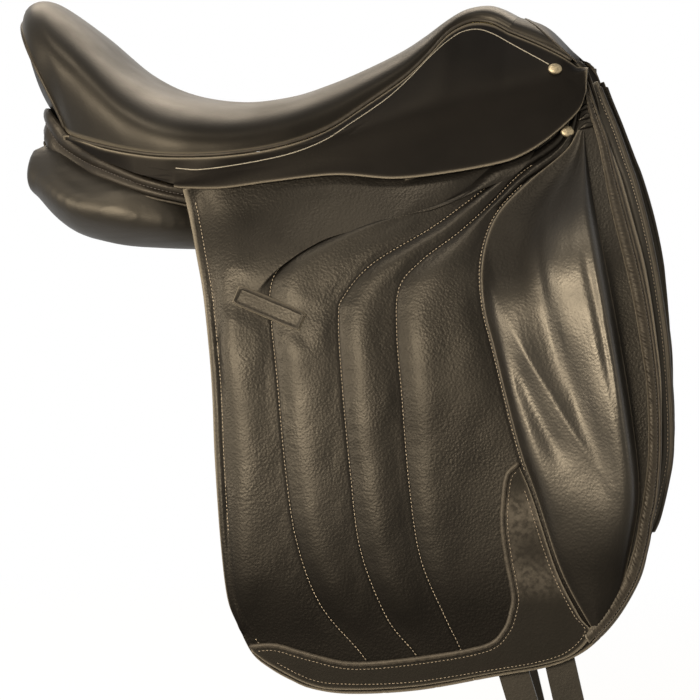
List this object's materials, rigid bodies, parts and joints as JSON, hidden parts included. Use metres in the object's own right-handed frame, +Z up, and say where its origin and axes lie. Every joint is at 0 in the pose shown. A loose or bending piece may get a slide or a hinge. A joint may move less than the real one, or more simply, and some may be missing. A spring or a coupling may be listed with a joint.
{
  "type": "dressage saddle",
  "caption": "English dressage saddle: deep leather seat on a spring tree, long grooved flaps with knee blocks, flocked panels and billets; flaps, skirts, billets and bar catches move.",
  "frame": {"origin": "on the saddle's middle plane, at mid length, at the height of the horse's back, which the panels straddle", "axes": "+X towards the pommel (the horse's head), +Y to the saddle's left (near side), +Z up"},
  "size_m": [0.569, 0.443, 0.705],
  "materials": {
    "seat_leather": "satin",
    "skirt_leather": "satin",
    "flap_leather": "satin",
    "block_leather": "satin",
    "trim_leather": "satin",
    "patch_leather": "satin",
    "panel_leather": "satin",
    "billet_leather": "satin",
    "seat_foam": "matte",
    "webbing": "matte",
    "beech": "satin",
    "tree_steel": "satin",
    "forged_steel": "satin",
    "nail_nickel": "satin"
  },
  "bodies": {
    "saddle": {"tree_frame": "beech", "head_arch": "beech", "gullet_plate": "tree_steel", "rail_spring_right": "tree_steel", "rail_spring_left": "tree_steel", "seat_webbing": "webbing", "girth_web_rear_right": "webbing", "girth_web_rear_left": "webbing", "girth_web_front_right": "webbing", "girth_web_front_left": "webbing", "seat_foam": "seat_foam", "seat_cover": "seat_leather", "pommel_facing": "seat_leather", "cantle_facing": "seat_leather", "seat_welt_right": "trim_leather", "seat_welt_left": "trim_leather", "skirt_top_right": "skirt_leather", "skirt_top_left": "skirt_leather", "skirt_nail_right": "nail_nickel", "skirt_nail_left": "nail_nickel", "sweat_flap_right": "panel_leather", "sweat_flap_left": "panel_leather", "panel_right": "panel_leather", "panel_left": "panel_leather", "rear_facing_right": "panel_leather", "rear_facing_left": "panel_leather", "front_roll_right": "panel_leather", "front_roll_left": "panel_leather", "stirrup_bar_right": "forged_steel", "stirrup_bar_left": "forged_steel", "catch_pin_right": "forged_steel", "catch_pin_left": "forged_steel"},
    "flap_right": {"flap_right": "flap_leather", "flap_nail_right": "nail_nickel", "flap_strip_right": "flap_leather", "flap_binding_right": "trim_leather", "knee_block_right": "block_leather", "wear_patch_right": "patch_leather"},
    "flap_left": {"flap_left": "flap_leather", "flap_nail_left": "nail_nickel", "flap_strip_left": "flap_leather", "flap_binding_left": "trim_leather", "knee_block_left": "block_leather", "wear_patch_left": "patch_leather"},
    "skirt_right": {"skirt_right": "skirt_leather"},
    "skirt_left": {"skirt_left": "skirt_leather"},
    "billet_rear_right": {"billet_rear_right": "billet_leather"},
    "billet_rear_left": {"billet_rear_left": "billet_leather"},
    "billet_front_right": {"billet_front_right": "billet_leather"},
    "billet_front_left": {"billet_front_left": "billet_leather"},
    "bar_catch_right": {"bar_catch_right": "forged_steel"},
    "bar_catch_left": {"bar_catch_left": "forged_steel"}
  },
  "joints": [
    {"name": "flap_lift_right", "type": "hinge", "parent": "saddle", "child": "flap_right", "pos_m": [-0.131, -0.146, 0.062], "axis": [-0.9489, -0.1826, -0.2574], "range_deg": [0, 45]},
    {"name": "flap_lift_left", "type": "hinge", "parent": "saddle", "child": "flap_left", "pos_m": [-0.131, 0.146, 0.062], "axis": [0.9489, -0.1826, 0.2574], "range_deg": [0, 45]},
    {"name": "skirt_lift_right", "type": "hinge", "parent": "flap_right", "child": "skirt_right", "pos_m": [-0.131, -0.146, 0.062], "axis": [-0.9489, -0.1826, -0.2574], "range_deg": [0, 60]},
    {"name": "skirt_lift_left", "type": "hinge", "parent": "flap_left", "child": "skirt_left", "pos_m": [-0.131, 0.146, 0.062], "axis": [0.9489, -0.1826, 0.2574], "range_deg": [0, 60]},
    {"name": "billet_rear_swing_right", "type": "hinge", "parent": "saddle", "child": "billet_rear_right", "pos_m": [0.033, -0.117, 0.06], "axis": [0, 1, 0], "range_deg": [0, 8]},
    {"name": "billet_rear_swing_left", "type": "hinge", "parent": "saddle", "child": "billet_rear_left", "pos_m": [0.033, 0.117, 0.06], "axis": [0, 1, 0], "range_deg": [0, 8]},
    {"name": "billet_front_swing_right", "type": "hinge", "parent": "saddle", "child": "billet_front_right", "pos_m": [0.104, -0.108, 0.06], "axis": [0, -1, 0], "range_deg": [0, 8]},
    {"name": "billet_front_swing_left", "type": "hinge", "parent": "saddle", "child": "billet_front_left", "pos_m": [0.104, 0.108, 0.06], "axis": [0, -1, 0], "range_deg": [0, 8]},
    {"name": "bar_catch_flip_right", "type": "hinge", "parent": "saddle", "child": "bar_catch_right", "pos_m": [0.08245, -0.10093, 0.09671], "axis": [-0.0887, 0.9551, -0.2827], "range_deg": [0, 75]},
    {"name": "bar_catch_flip_left", "type": "hinge", "parent": "saddle", "child": "bar_catch_left", "pos_m": [0.08245, 0.10093, 0.09671], "axis": [0.0887, 0.9551, 0.2827], "range_deg": [0, 75]}
  ]
}
